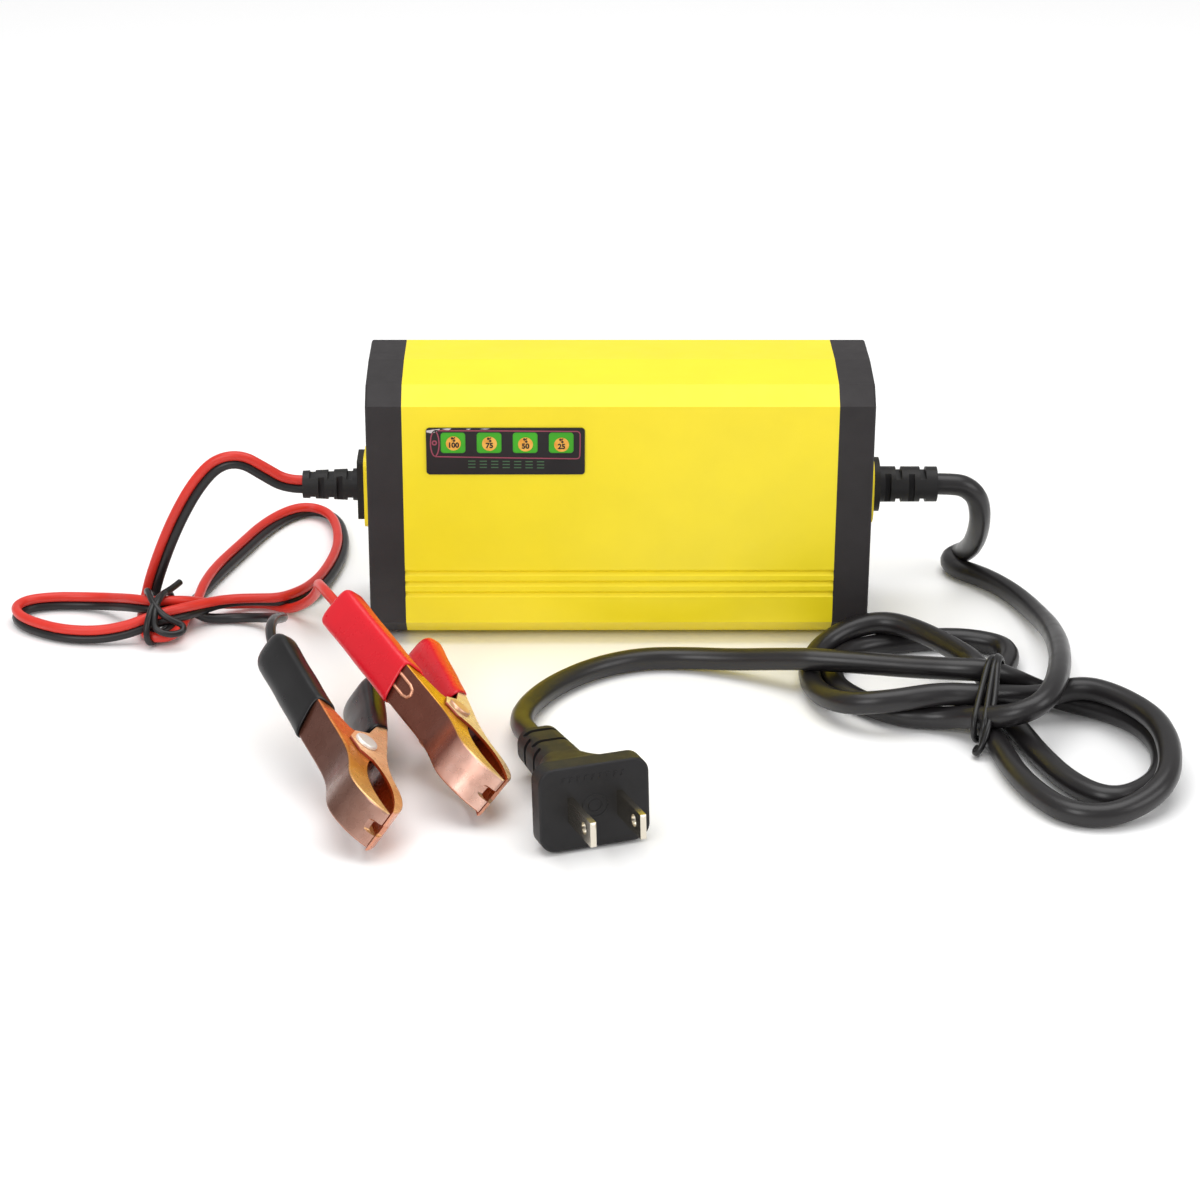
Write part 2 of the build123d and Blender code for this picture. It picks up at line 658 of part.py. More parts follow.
def make_plug():
    """A moulded plug: face block, shoulders, and a slotted neck round the lead."""
    neck = (11.5, 10)
    with BuildPart() as body:
        with BuildSketch(plug_plane(0)):
            RectangleRounded(PLUG_WIDTH, PLUG_HEIGHT, 4)
        extrude(amount=-6)
        with BuildSketch(plug_plane(-6)):
            RectangleRounded(PLUG_WIDTH - 1.2, PLUG_HEIGHT - 1.2, 4)
        with BuildSketch(plug_plane(-15)):
            RectangleRounded(19, 14.5, 4)
        with BuildSketch(plug_plane(-25)):
            RectangleRounded(12.5, 11, 4)
        loft()
        with BuildSketch(plug_plane(-25)):
            RectangleRounded(12.5, 11, 4)
        with BuildSketch(plug_plane(-PLUG_LENGTH)):
            RectangleRounded(*neck, 4)
        loft()
        outwards = Axis(PLUG_FACE, plug_plane(0).z_dir)
        fillet(body.faces().sort_by(outwards)[-1].edges(), 0.8)
        for step, distance in enumerate((29, 33, 37, 41)):
            sideways = step % 2 == 0
            for side in (1, -1):
                place = plug_plane(-distance)
                shift = (side * 8.1, 0) if sideways else (0, side * 7.7)
                with BuildSketch(place):
                    with Locations(shift):
                        Rectangle(*((8, 20) if sideways else (20, 8)))
                extrude(amount=-1.6, mode=Mode.SUBTRACT)
        with BuildSketch(plug_plane(0)):
            with GridLocations(BLADE_SPACING, 1, 2, 1):
                Rectangle(BLADE_THICKNESS, BLADE_WIDTH)
        extrude(amount=-BLADE_ROOT, mode=Mode.SUBTRACT)
    export(body, "plug_body")
    with BuildPart() as blades:
        with BuildSketch(plug_plane(-BLADE_ROOT)):
            with GridLocations(BLADE_SPACING, 1, 2, 1):
                Rectangle(BLADE_THICKNESS, BLADE_WIDTH)
        extrude(amount=BLADE_ROOT + BLADE_LENGTH)
        tips = blades.faces().sort_by(outwards)[-2:]
        chamfer(tips.edges(), 0.45)
        hole_place = plug_plane(BLADE_LENGTH - 5.2)
        across = Plane(origin=hole_place.origin, x_dir=hole_place.z_dir, z_dir=hole_place.x_dir)
        with BuildSketch(across):
            Circle(1.6)
        extrude(amount=BLADE_SPACING, both=True, mode=Mode.SUBTRACT)
    export(blades, "plug_blades")


make_plug()


# ---------------------------------------------------------------- clips

def mirrored(points, side):
    return [(x, side * y) for x, y in points]


def is_back_bend(place, edge, half_width):
    """Whether an edge is one of the long bends between a half's back and its flanges."""
    middle = place.to_local_coords(edge.center())
    at_side = abs(abs(middle.Z) - half_width) < 0.01
    return at_side and abs(middle.Y) > 3.2 + 0.3 * max(0, -middle.X)


def make_clip_half(place, side, half_width, hole, jaw, name):
    """One half of a clip in folded sheet: a back, two flanges with ears for the rivet, a notched tip."""
    back, hollow_back = jaw
    with BuildPart() as half:
        with BuildSketch(place):
            with BuildLine():
                Polyline(*mirrored([EAR_EDGE[-1], HANDLE_END, back[0]], side))
                Spline(*mirrored(back, side))
                Polyline(*mirrored([back[-1], JAW_EDGE[0]], side))
                Spline(*mirrored(JAW_EDGE, side))
                Polyline(*mirrored(EAR_EDGE, side))
            make_face()
        extrude(amount=half_width, both=True)
        fillet([edge for edge in half.edges() if is_back_bend(place, edge, half_width)], 0.6)
        with BuildSketch(place):
            with BuildLine():
                Polyline(*mirrored([HOLLOW_END, hollow_back[0]], side))
                Spline(*mirrored(hollow_back, side))
                Polyline(*mirrored(HOLLOW_FOOT, side))
            make_face()
        extrude(amount=half_width - SHEET, both=True, mode=Mode.SUBTRACT)
        with BuildSketch(place):
            Circle(hole)
        extrude(amount=half_width + 1, both=True, mode=Mode.SUBTRACT)
        tip = place.from_local_coords(Vector(back[-1][0], 0, 0))
        with BuildSketch(Plane(origin=tip, x_dir=place.z_dir, z_dir=place.y_dir * side)):
            RectangleRounded(3.4, 3.0, 0.9)
        extrude(amount=4, mode=Mode.SUBTRACT)
    export(half, name)


def make_sleeve(place, side, half_width, name):
    """A soft sleeve over a handle, closed at the tail."""
    outer = half_width + SLEEVE_WALL
    with BuildPart() as sleeve:
        with BuildSketch(place) as profile:
            with BuildLine():
                Polyline(*mirrored(SLEEVE_SIDE, side), close=True)
            make_face()
            fillet(profile.vertices().sort_by(Axis.X)[:2], 2.6)
        extrude(amount=outer, both=True)
        long_edges = []
        for edge in sleeve.edges():
            middle = place.to_local_coords(edge.center())
            if abs(abs(middle.Z) - outer) < 0.01 and abs(middle.X - SLEEVE_MOUTH) > 0.01:
                long_edges.append(edge)
        fillet(long_edges, SLEEVE_EDGE)
        with BuildSketch(place):
            with BuildLine():
                Polyline(*mirrored(SLEEVE_HOLLOW, side), close=True)
            make_face()
        extrude(amount=half_width, both=True, mode=Mode.SUBTRACT)
    export(sleeve, name)


def make_rivet(place, name):
    """The hinge pin: a shaft with a low head at each end."""
    reach = MOVING_HALF_WIDTH + 0.1
    with BuildPart() as rivet:
        with BuildSketch(place):
            Circle(RIVET_RADIUS)
        extrude(amount=reach + 0.1, both=True)
        for end in (1, -1):
            with BuildSketch(place.offset(end * reach)):
                Circle(RIVET_HEAD)
            extrude(amount=end * 0.9)
        heads = []
        for edge in rivet.edges():
            if abs(place.to_local_coords(edge.center()).Z) > reach + 0.8:
                heads.append(edge)
        fillet(heads, 0.6)
    export(rivet, name)


def make_spring(place, name):
    """The torsion spring as a plain sleeve round the rivet, with a leg on each handle."""
    inner, outer, leg = 2.1, 3.8, 0.6
    with BuildPart() as spring:
        with BuildSketch(place):
            Circle(outer)
            Circle(inner, mode=Mode.SUBTRACT)
        extrude(amount=3.2, both=True)
        for side in (1, -1):
            start = place.from_local_coords(Vector(-1.6, side * 2.6, side * 2.4))
            finish = place.from_local_coords(Vector(-13, side * 8.5, side * 2.4))
            with BuildSketch(Plane(origin=start, z_dir=finish - start)):
                Circle(leg)
            extrude(amount=(finish - start).length)
    export(spring, name)


def make_clip(colour, pivot, along, axis):
    place = Plane(origin=pivot, x_dir=along, z_dir=axis)
    make_clip_half(place, 1, WIRED_HALF_WIDTH, RIVET_RADIUS, WIRED_JAW, f"{colour}_clip_wired_half")
    make_clip_half(place, -1, MOVING_HALF_WIDTH, RIVET_RADIUS + RUNNING_GAP, MOVING_JAW,
                   f"{colour}_clip_moving_half")
    make_sleeve(place, 1, WIRED_HALF_WIDTH, f"{colour}_clip_wired_sleeve")
    make_sleeve(place, -1, MOVING_HALF_WIDTH, f"{colour}_clip_moving_sleeve")
    make_rivet(place, f"{colour}_clip_rivet")
    make_spring(place, f"{colour}_clip_spring")


make_clip("red", RED_PIVOT, RED_ALONG, RED_AXIS)
make_clip("black", BLACK_PIVOT, BLACK_ALONG, BLACK_AXIS)
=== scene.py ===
"""Looks for the car battery charger: camera, leads, plug, clips, ties, print and materials."""
import json
import math

import bpy
from mathutils import Matrix, Vector

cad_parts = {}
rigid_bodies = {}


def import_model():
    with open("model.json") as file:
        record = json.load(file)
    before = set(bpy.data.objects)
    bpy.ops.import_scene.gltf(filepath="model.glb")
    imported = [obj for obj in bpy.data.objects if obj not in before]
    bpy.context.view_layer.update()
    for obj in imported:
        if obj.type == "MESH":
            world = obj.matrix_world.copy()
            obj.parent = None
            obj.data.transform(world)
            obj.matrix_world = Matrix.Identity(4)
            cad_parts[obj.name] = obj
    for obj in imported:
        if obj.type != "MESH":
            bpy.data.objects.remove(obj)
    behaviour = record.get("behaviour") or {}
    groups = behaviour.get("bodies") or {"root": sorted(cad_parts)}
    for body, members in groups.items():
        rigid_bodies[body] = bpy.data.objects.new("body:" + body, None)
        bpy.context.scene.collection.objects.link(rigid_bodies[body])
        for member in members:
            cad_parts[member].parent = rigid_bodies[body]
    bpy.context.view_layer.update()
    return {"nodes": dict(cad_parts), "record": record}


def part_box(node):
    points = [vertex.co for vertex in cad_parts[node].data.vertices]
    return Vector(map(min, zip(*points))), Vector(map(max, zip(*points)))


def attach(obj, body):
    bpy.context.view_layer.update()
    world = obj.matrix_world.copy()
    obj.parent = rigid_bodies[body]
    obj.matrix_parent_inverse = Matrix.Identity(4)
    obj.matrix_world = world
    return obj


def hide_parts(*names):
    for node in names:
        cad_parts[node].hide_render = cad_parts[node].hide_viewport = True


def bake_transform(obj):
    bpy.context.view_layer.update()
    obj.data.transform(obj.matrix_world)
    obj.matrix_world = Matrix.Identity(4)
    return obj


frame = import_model()
NODES = frame["nodes"]
MM = 0.001

# ------------------------------------------------------------ camera

FOCAL_LENGTH, SENSOR_WIDTH = 90, 36
CAMERA_AT = (-0.0165, -0.7955, 0.3507)
YAW, PITCH, ROLL = math.radians(0.82), math.radians(23.57), math.radians(0.27)


def add_camera():
    data = bpy.data.cameras.new("camera")
    data.lens = FOCAL_LENGTH
    data.sensor_width = SENSOR_WIDTH
    data.clip_end = 20
    camera = bpy.data.objects.new("camera", data)
    bpy.context.scene.collection.objects.link(camera)
    level = math.cos(PITCH)
    forward = Vector((math.sin(YAW) * level, math.cos(YAW) * level, -math.sin(PITCH)))
    right = Vector((math.cos(YAW), -math.sin(YAW), 0))
    up = right.cross(forward)
    across = math.cos(ROLL) * right + math.sin(ROLL) * up
    above = -math.sin(ROLL) * right + math.cos(ROLL) * up
    turn = Matrix((across, above, -forward)).transposed()
    camera.matrix_world = Matrix.Translation(CAMERA_AT) @ turn.to_4x4()
    bpy.context.scene.camera = camera


add_camera()


# ------------------------------------------------------------ materials

def linear(value):
    """A 0-255 display value as a linear one."""
    value /= 255
    return value / 12.92 if value <= 0.04045 else ((value + 0.055) / 1.055) ** 2.4


def rgb(red, green, blue):
    return (linear(red), linear(green), linear(blue), 1)


class Paint:
    """Builds one procedural material."""

    def __init__(self, name, color, rough, metallic=0.0, **sockets):
        self.material = bpy.data.materials.new(name)
        self.material.use_nodes = True
        self.tree = self.material.node_tree
        self.shader = self.tree.nodes["Principled BSDF"]
        self.material.diffuse_color = color
        self.shader.inputs["Base Color"].default_value = color
        self.shader.inputs["Roughness"].default_value = rough
        self.shader.inputs["Metallic"].default_value = metallic
        for socket, value in sockets.items():
            self.shader.inputs[socket.replace("_", " ")].default_value = value
        self.normal = None
        self.place = self.tree.nodes.new("ShaderNodeTexCoord").outputs["Object"]

    def link(self, out, into):
        self.tree.links.new(out, into)

    def noise(self, scale, detail):
        node = self.tree.nodes.new("ShaderNodeTexNoise")
        node.inputs["Scale"].default_value = scale
        node.inputs["Detail"].default_value = detail
        self.link(self.place, node.inputs["Vector"])
        return node.outputs["Fac"]

    def ramp(self, out, *stops):
        """A colour or value ramp: each stop is (position, colour or value)."""
        node = self.tree.nodes.new("ShaderNodeValToRGB")
        bar = node.color_ramp.elements
        while len(bar) < len(stops):
            bar.new(0.5)
        for element, (position, color) in zip(bar, stops):
            element.position = position
            element.color = (color, color, color, 1) if isinstance(color, float) else color
        self.link(out, node.inputs["Fac"])
        return node.outputs["Color"]

    def mix(self, factor, first, second, blend="MIX"):
        node = self.tree.nodes.new("ShaderNodeMix")
        node.data_type = "RGBA"
        node.blend_type = blend
        for socket, value in ((0, factor), (6, first), (7, second)):
            if isinstance(value, bpy.types.NodeSocket):
                self.link(value, node.inputs[socket])
            else:
                node.inputs[socket].default_value = value
        return node.outputs[2]

    def color(self, out):
        self.link(out, self.shader.inputs["Base Color"])

    def rough(self, out):
        self.link(out, self.shader.inputs["Roughness"])

    def bump(self, out, strength, distance):
        node = self.tree.nodes.new("ShaderNodeBump")
        node.inputs["Strength"].default_value = strength
        node.inputs["Distance"].default_value = distance
        self.link(out, node.inputs["Height"])
        if self.normal:
            self.link(self.normal, node.inputs["Normal"])
        self.normal = node.outputs["Normal"]
        self.link(self.normal, self.shader.inputs["Normal"])


def mottled(name, color, rough, vary, grain, depth=0.00002, strength=0.25, metallic=0.0, **sockets):
    """A material whose colour and gloss vary a little, with a fine grain."""
    paint = Paint(name, color, rough, metallic, **sockets)
    broad = paint.noise(60, 5)
    low = tuple(channel * (1 - vary) for channel in color[:3]) + (1,)
    high = tuple(min(1, channel * (1 + vary)) for channel in color[:3]) + (1,)
    paint.color(paint.ramp(broad, (0.3, low), (0.7, high)))
    paint.rough(paint.ramp(paint.noise(220, 3), (0.3, rough * 0.9), (0.7, min(1, rough * 1.12))))
    paint.bump(paint.noise(grain, 2), strength, depth)
    return paint.material


YELLOW = rgb(246, 224, 30)
LOOKS = {
    "shell_yellow": mottled("shell_yellow", YELLOW, 0.38, 0.025, 900, 0.00003, 0.1),
    "cap_black": mottled("cap_black", rgb(46, 43, 44), 0.55, 0.14, 2600, 0.00005, 0.5,
                         Specular_IOR_Level=0.3),
    "screw_steel": mottled("screw_steel", rgb(190, 190, 188), 0.35, 0.1, 4000, metallic=1.0),
    "label_film": mottled("label_film", rgb(34, 31, 33), 0.35, 0.1, 700, 0.00001, 0.1,
                          Specular_IOR_Level=0.3),
    "window_green": mottled("window_green", rgb(66, 168, 38), 0.35, 0.1, 900, Specular_IOR_Level=0.3),
    "led_lens": mottled("led_lens", rgb(232, 120, 40), 0.3, 0.1, 900),
    "board_green": mottled("board_green", rgb(32, 110, 62), 0.35, 0.15, 500),
    "insulation_fibre": mottled("insulation_fibre", rgb(196, 186, 150), 0.8, 0.12, 1500, 0.00004, 0.5),
    "ferrite": mottled("ferrite", rgb(62, 62, 66), 0.6, 0.2, 1800, 0.00004, 0.5),
    "winding_tape": mottled("winding_tape", rgb(228, 196, 60), 0.3, 0.08, 300),
    "component_black": mottled("component_black", rgb(38, 38, 40), 0.5, 0.15, 2200),
    "fuse_glass": mottled("fuse_glass", rgb(215, 225, 222), 0.08, 0.02, 300, Alpha=0.45),
    "clip_tin": mottled("clip_tin", rgb(205, 205, 200), 0.25, 0.06, 1500, metallic=1.0),
    "capacitor_yellow": mottled("capacitor_yellow", rgb(220, 180, 40), 0.4, 0.06, 900),
    "capacitor_sleeve": mottled("capacitor_sleeve", rgb(36, 44, 62), 0.3, 0.1, 700),
    "sink_aluminium": mottled("sink_aluminium", rgb(200, 202, 205), 0.38, 0.06, 900, metallic=1.0),
    "wire_red_black": mottled("wire_red_black", rgb(150, 34, 30), 0.4, 0.1, 900),
    "cord_black": mottled("cord_black", rgb(30, 28, 29), 0.33, 0.14, 1400, 0.00002, 0.3,
                          Specular_IOR_Level=0.45),
    "plug_black": mottled("plug_black", rgb(34, 33, 34), 0.48, 0.12, 2000, 0.00004, 0.5,
                          Specular_IOR_Level=0.25),
    "blade_nickel": mottled("blade_nickel", rgb(214, 206, 190), 0.2, 0.08, 1500, metallic=1.0),
    "core_red": mottled("core_red", rgb(212, 50, 38), 0.34, 0.06, 1200, Specular_IOR_Level=0.4),
    "core_black": mottled("core_black", rgb(28, 27, 28), 0.34, 0.12, 1200, Specular_IOR_Level=0.4),
    "clip_copper": mottled("clip_copper", rgb(214, 138, 96), 0.24, 0.1, 900, metallic=1.0),
    "sleeve_red": mottled("sleeve_red", rgb(218, 24, 40), 0.28, 0.07, 420, 0.00004, 0.15,
                          Specular_IOR_Level=0.4),
    "sleeve_black": mottled("sleeve_black", rgb(24, 23, 24), 0.3, 0.14, 420, 0.00004, 0.15,
                            Specular_IOR_Level=0.35),
    "spring_steel": mottled("spring_steel", rgb(196, 194, 190), 0.3, 0.1, 3000, metallic=1.0),
}
for row in frame["record"]["subparts"]:
    NODES[row["node"]].data.materials.clear()
    NODES[row["node"]].data.materials.append(LOOKS[row["material_slot"]])
RIVETS = {
    "red_clip_rivet": mottled("rivet_copper", rgb(226, 178, 150), 0.3, 0.12, 1500, 0.00003, 0.3, 0.6),
    "black_clip_rivet": mottled("rivet_steel", rgb(236, 234, 230), 0.34, 0.1, 1500, 0.00003, 0.3, 0.45),
}
for name in ("left_end_panel", "right_end_panel"):
    NODES[name].data.materials[0] = LOOKS["shell_yellow"]
for name, material in RIVETS.items():
    NODES[name].data.materials[0] = material


# ------------------------------------------------------------ leads

# Places are in mm in the frame: x to the right, y away from the viewer, z up.
MAINS_DIAMETER = 6.2
CORE_DIAMETER = 2.8
CORE_GAP = 2.6  # between the middles of the two output cores, which are pressed together
TWIN_LIFT = 0.3  # brings the lower core's skin up to about the floor
# From the strain relief down to the floor, folded back on itself there, then forward.
MAINS_ROUTE = [
    (90.5, 0, 39.6), (94.6, 0, 39.6), (98.8, 0, 39), (102.6, 0.8, 35.5), (104.2, 3, 29), (104.6, 8.5, 21.5),
    (104.4, 15.5, 14.8), (104, 22.5, 10.2), (103.9, 28.8, 6.6), (103.1, 32.8, 4.6), (100.4, 32.9, 3.1),
    (99.9, 27.8, 3.1), (102.6, 23, 3.1), (107.5, 18.5, 3.1), (112.8, 11, 3.1), (117.2, 1, 3.1),
    (120, -12, 4), (121.3, -25, 6), (121, -38, 8.4), (119.8, -51, 10.8),
]
# Two turns of a hank: each goes through the tie, round the left lobe, through the tie again and round the
# right lobe. The lead then leaves over the tie to the left.
MAINS_TURNS = [
    (117.8, -65, 13), (114, -81, 14.4), (109, -90, 13), (102, -91.5, 10.6),
    (95, -87, 7.8), (89.5, -80.5, 4.8), (83, -77.5, 3.1), (73, -76, 3.1), (63, -66, 3.1), (58, -57, 3.1),
    (58, -46, 3.1), (62.5, -36.5, 3.1), (69, -31.5, 3.1), (79, -28.5, 3.1), (90, -26, 3.1), (100, -27, 3.1),
    (108.5, -32, 3.1), (107.5, -44, 3.1),
    (96.5, -64, 3.1), (95.5, -80, 3.1), (98, -96, 3.1), (100, -110, 3.1), (104, -122, 3.1), (110, -132, 3.1),
    (120, -134, 3.1), (130, -129.5, 5), (137, -122, 7.8), (140, -106.5, 9.4), (139, -91, 9.5),
    (132, -78, 9.5), (123, -70, 9), (112, -71.5, 6.2),
    (100, -76, 9), (94, -78, 10), (84, -76, 9.6), (70, -80.5, 9.3), (59, -77, 7), (52.6, -64, 4),
    (51.2, -49, 3.1), (55, -36.5, 4.8), (63.5, -30, 7.8), (74, -27.5, 9.2), (83, -34, 9.3), (91, -46.5, 9.6),
    (96, -60, 11.2),
    (100.5, -70, 5.8), (103, -80, 3.4), (105.5, -90, 3.1), (108, -101, 3.1), (113.2, -116, 3.1),
    (121.5, -125.3, 3.1), (131, -120.5, 3.1), (137.8, -110.5, 3.1), (140.6, -95, 3.1), (137.3, -81.5, 3.1),
    (130, -73, 3.1), (120, -67, 3.1), (113, -63, 4),
    (105, -67.5, 9.6), (98, -70.3, 13.7), (90, -69.5, 13.7), (78, -64, 11.8), (64, -58, 10.4),
    (53, -54.4, 9.6),
]
# On along the floor in front of the case, and round into the plug's neck.
PLUG_ROUTE = [
    (50.5, -53.4, 9.3), (42, -49, 7.3), (31, -43.5, 4.6), (18, -39, 3.1), (5, -39.4, 3.1), (-8, -46, 3.1),
    (-19, -57.5, 3.1), (-26, -71.5, 3.3), (-27.2, -84.5, 4.8), (-24.7, -93.9, 6.5), (-22.13, -101.57, 7.26),
]
# The middle of the two output cores, and how far the black one leans from under the red one, in degrees:
# 90 puts it level on the right of the run, -90 on the left.
ARCH_ROUTE = [
    (-89.6, 0, 39.6), (-94.5, 0, 39.6), (-100.5, 0, 43.4), (-107, 0, 47.5), (-114, 0, 46.2),
    (-120, 0, 39.5), (-125.5, 0, 30), (-130, 0, 20), (-133.5, 0, 10.5), (-134.8, 0, 5.6),
]
TWIN_TURNS = [
    (-135.3, -3.5, 3, -90), (-134.9, -10, 2.75, -90), (-134, -17, 2.6, -90), (-132, -22.6, 2.2, -90),
    (-127.5, -22.6, 2.2, -90), (-125.4, -17.5, 2.6, -90), (-124.8, -11, 2.75, -90), (-124, -4, 1.9, -85),
    (-122.6, 4, 1.6, -50), (-120.8, 13, 2.2, 0), (-117.8, 26, 2.2, 38), (-112.8, 42, 2, 48),
    (-107, 60, 2, 45), (-100, 71, 2.3, 0), (-93, 74.5, 2.1, -45), (-86.5, 68, 2, -50), (-83.4, 54, 2, -50),
    (-82.8, 39, 2, -50), (-85.4, 21, 2.3, -45), (-89, 8.5, 3.1, -30), (-93, 1, 4, 0), (-98, -2.2, 4.5, 45),
    (-104, -2, 4.5, 50), (-110, -2.6, 4.6, 50), (-115, -5.2, 4.9, 40), (-119, -10, 5.6, 20),
    (-123, -14.4, 6.2, 0), (-128, -17.8, 6.4, 0), (-133, -20.8, 5.8, 0), (-139, -22, 3.8, 0),
    (-147, -22.5, 2.5, 0), (-156, -21.5, 2.4, 0), (-164, -17.5, 2.4, 0), (-170.5, -12, 2.4, 0),
    (-173.2, -5.5, 2.4, 0), (-170.5, -0.2, 2.4, 0), (-163, 2, 2.4, 0), (-154, 1.8, 2.4, 0),
    (-147, -0.5, 3.2, 0), (-142.5, -5.5, 5.2, 0), (-138, -10.3, 7, 0), (-133, -13.2, 7.6, 0),
    (-128, -13, 7.6, 0),
]
BLACK_ROUTE = [
    (-124.5, -12, 6.2), (-121, -9.6, 4.2), (-118.4, -8.4, 1.8), (-114.5, -8.1, 1.5),
    (-109, -7.6, 1.5), (-101, -10.5, 2.8), (-96, -20, 7), (-93.5, -32, 12.5),
    (-92.8, -45, 18), (-93.8, -56, 22.6), (-93.8, -66.5, 24.6), (-92.4, -75.3, 23.7),
    (-91.6, -78.1, 23.4),
]
RED_ROUTE = [
    (-123, -11, 8.4), (-118.5, -6, 5.6), (-113.5, -0.5, 2.6), (-107, 2.6, 1.45), (-101.5, 2.6, 1.45),
    (-95.4, -1.8, 1.5), (-91, -6, 4.6), (-87, -13, 10), (-84.5, -22, 16.5), (-83.3, -33, 23),
    (-82.3, -44.5, 27.8), (-79.3, -55, 29.9), (-75.1, -63.7, 29), (-73.7, -65.9, 28.3),
]
UP = Vector((0, 0, 1))
ACROSS_ARCH = Vector((0, 1, 0))
LINE_STEPS = 8  # along a line, from one control point to the next
LINE_ROUNDNESS = 5  # Blender's bevel resolution, round a line


def to_m(point):
    return tuple(MM * value for value in point)


def smooth_line(name, points, diameter, material):
    """A round cord or wire whose centreline is a NURBS spline with these control points, in mm."""
    data = bpy.data.curves.new(name, "CURVE")
    data.dimensions = "3D"
    spline = data.splines.new("NURBS")
    spline.points.add(len(points) - 1)
    for point, place in zip(spline.points, points):
        point.co = (*to_m(place), 1)
    spline.order_u = 3
    spline.use_endpoint_u = True
    spline.resolution_u = LINE_STEPS
    data.bevel_depth = diameter * MM / 2
    data.bevel_resolution = LINE_ROUNDNESS
    data.use_fill_caps = True
    data.materials.append(material)
    line = bpy.data.objects.new(name, data)
    bpy.context.scene.collection.objects.link(line)
    return line


def core_points(side):
    """Control points of one output core up to where the two part: side is 1 for red and -1 for black."""
    half = CORE_GAP / 2
    places = [Vector(point) for point in ARCH_ROUTE]
    moved = []
    for index, place in enumerate(places):
        run = places[min(index + 1, len(places) - 1)] - places[max(index - 1, 0)]
        outwards = ACROSS_ARCH.cross(run).normalized()
        moved.append(place + side * half * outwards)
    for index, (x, y, z, lean) in enumerate(TWIN_TURNS):
        before = TWIN_TURNS[max(index - 1, 0)]
        after = TWIN_TURNS[min(index + 1, len(TWIN_TURNS) - 1)]
        run = Vector((after[0] - before[0], after[1] - before[1], 0)).normalized()
        lean = math.radians(lean)
        black = math.sin(lean) * run.cross(UP) - math.cos(lean) * UP
        moved.append(Vector((x, y, z + TWIN_LIFT)) - side * half * black)
    return [tuple(place) for place in moved]


MAINS_LINE = MAINS_ROUTE + MAINS_TURNS + PLUG_ROUTE
RED_LINE = core_points(1) + RED_ROUTE
BLACK_LINE = core_points(-1) + BLACK_ROUTE
mains = smooth_line("mains_lead_line", MAINS_LINE, MAINS_DIAMETER, LOOKS["cord_black"])
red = smooth_line("red_core_line", RED_LINE, CORE_DIAMETER, LOOKS["core_red"])
black = smooth_line("black_core_line", BLACK_LINE, CORE_DIAMETER, LOOKS["core_black"])


# ------------------------------------------------------------ ties

# Each tie is wound round its bundle by hand, and its ends are twisted in front of it.
OUTPUT_TIE_DIAMETER, MAINS_TIE_DIAMETER = 1.9, 1.7
OUTPUT_TIE = [
    (-125.2, -6.5, 12.2), (-127, -9.6, 11.6), (-129.6, -14, 11.6), (-131.2, -18.5, 10.9), (-132.2, -22.4, 9),
    (-133, -25.4, 5.2), (-132.4, -25.6, 1.2), (-130.4, -20, 0.8), (-129, -12, 0.8), (-128, -9.7, 2),
    (-127.2, -9.4, 6), (-127.6, -9.6, 10.4), (-129, -13, 11.9), (-130.2, -18, 11.2), (-130.8, -22, 9),
    (-130.6, -24.8, 6), (-128.6, -25.8, 5), (-125.6, -26, 4.4), (-122.6, -25, 4.8), (-122.6, -23, 6),
    (-125.2, -22.8, 7.2), (-128, -22.2, 8.4), (-130.4, -20.4, 10.2), (-132.4, -16.6, 11.6),
    (-133.6, -12.6, 12.2), (-134.2, -11, 11.2), (-133.6, -10.2, 9.6), (-132.6, -12, 10.6),
]
MAINS_TIE = [
    (101.4, -65.9, 14.2), (100.6, -67.6, 16.9), (99, -72, 18), (97.4, -78, 14.8), (95.8, -84.5, 11.6),
    (94.4, -90.6, 9.2), (93.6, -92.4, 5), (94, -90.4, 1.2), (96, -84, 0.9), (98.4, -74, 0.9),
    (100.2, -67.4, 2.4), (100.8, -65.8, 9), (99.4, -68, 16.8), (97.4, -72.4, 17.9), (95.4, -78, 14.6),
    (93.4, -84, 11), (91.8, -89, 8.2), (91.6, -90.4, 4), (93, -88, 1.2), (96, -80, 0.9), (99.6, -72, 0.9),
    (102.4, -66.8, 3), (102.4, -65.8, 10), (101.2, -68.4, 16.9), (99.6, -73, 17.8), (98.6, -79, 14.4),
    (97.2, -86, 10.8), (95.2, -92, 7.6), (93.6, -95, 4), (92.2, -95.8, 1.8), (91.4, -94.2, 1.1),
    (92.6, -92.2, 1.6),
]
tie_black = mottled("tie_black", rgb(26, 25, 26), 0.3, 0.15, 1500, 0.00002, 0.3, Specular_IOR_Level=0.4)
output_tie = smooth_line("output_tie_wire", OUTPUT_TIE, OUTPUT_TIE_DIAMETER, tie_black)
mains_tie = smooth_line("mains_tie_wire", MAINS_TIE, MAINS_TIE_DIAMETER, tie_black)
for tie, name in ((output_tie, "output_tie"), (mains_tie, "mains_tie")):
    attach(tie, "charger")
    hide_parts(name)

for line, slot, hidden in (
        (mains, "cord_black", ("mains_lead", "mains_lead_to_plug", "mains_hank")),
        (red, "core_red", ("red_core", "output_lead")),
        (black, "core_black", ("black_core", "output_hank"))):
    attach(line, "charger")
    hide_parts(*hidden)


# ------------------------------------------------------------ clips

# Each clip's rivet, the way to its jaws, and the rivet's axis, which clip_place squares to that way.
CLIPS = {
    "red": ((-46.4, -102.3, 12.8), (0.3867, -0.9112, -0.1424), (-0.6314, -0.149, -0.761)),
    "black": ((-69, -118.8, 11.2), (0.2509, -0.964, -0.0878), (-0.5753, -0.0755, -0.8145)),
}
WIRED_HALF_WIDTH = 5.3
MOVING_HALF_WIDTH = 6.1
